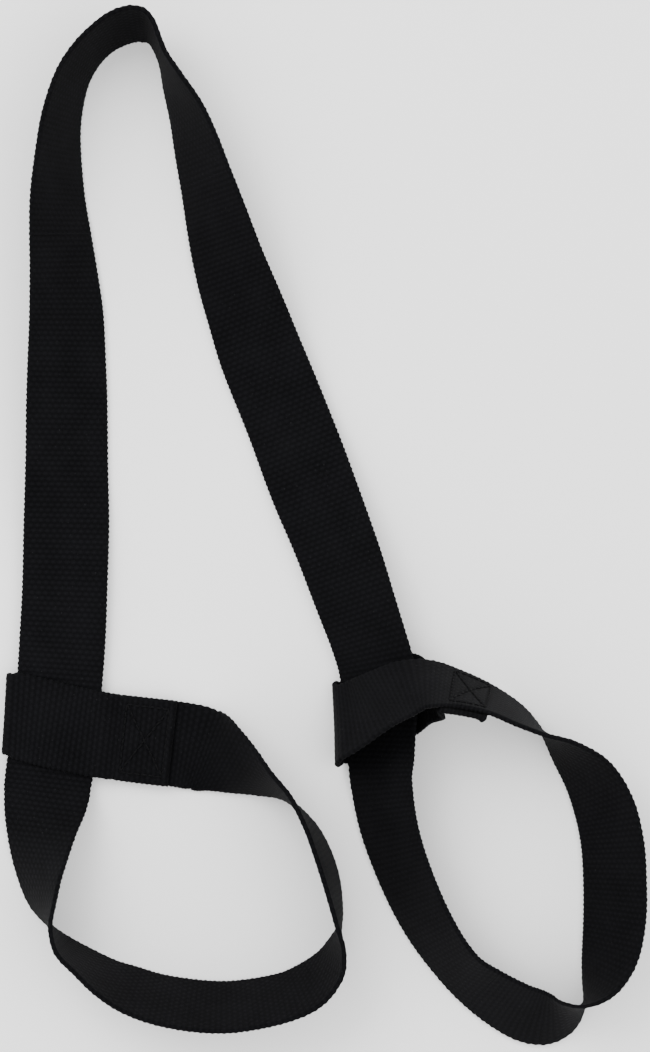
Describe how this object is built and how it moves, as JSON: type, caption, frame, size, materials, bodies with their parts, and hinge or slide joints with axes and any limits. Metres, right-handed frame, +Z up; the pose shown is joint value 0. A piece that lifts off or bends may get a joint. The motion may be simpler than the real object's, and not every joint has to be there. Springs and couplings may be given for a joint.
{
  "type": "stretching strap",
  "caption": "Cotton webbing strap laid in a U, each end sewn back round its own leg as a sliding keeper that makes an adjustable hand or foot loop.",
  "frame": {"origin": "middle of the underside of the box round the whole strap, on the surface it lies on", "axes": "+X right and +Y up the strap towards its U-turn, as seen from straight above; +Z up from the surface"},
  "size_m": [0.284, 0.4568, 0.057],
  "materials": {
    "cotton_webbing": "matt, coarse plain weave, near black",
    "sewing_thread": "black polyester thread with a slight sheen"
  },
  "bodies": {
    "left_half": {"left_leg_webbing": "cotton_webbing", "left_loop_side_webbing": "cotton_webbing", "left_loop_bottom_webbing": "cotton_webbing", "crown_webbing": "cotton_webbing"},
    "left_keeper": {"left_keeper_webbing": "cotton_webbing", "left_arm_webbing": "cotton_webbing", "left_box_stitch_needle_thread": "sewing_thread", "left_box_stitch_bobbin_thread": "sewing_thread"},
    "right_half": {"right_leg_webbing": "cotton_webbing", "right_loop_side_webbing": "cotton_webbing", "right_loop_bottom_webbing": "cotton_webbing"},
    "right_keeper": {"right_keeper_webbing": "cotton_webbing", "right_arm_webbing": "cotton_webbing", "right_box_stitch_needle_thread": "sewing_thread", "right_box_stitch_bobbin_thread": "sewing_thread"}
  },
  "joints": [
    {"name": "left_keeper_slide", "type": "slide", "parent": "left_half", "child": "left_keeper", "axis": [0.0599, 0.9982, 0], "range_m": [0, 0.03], "deforming": ["left_loop_bottom_webbing"]},
    {"name": "crown_bend", "type": "hinge", "parent": "left_half", "child": "right_half", "pos_m": [-0.0744, 0.2187, 0.0192], "axis": [0, 0, 1], "range_deg": [0, 60], "deforming": ["crown_webbing"]},
    {"name": "right_keeper_slide", "type": "slide", "parent": "right_half", "child": "right_keeper", "axis": [-0.2055, 0.9787, 0], "range_m": [0, 0.012], "deforming": ["right_loop_bottom_webbing"]}
  ]
}
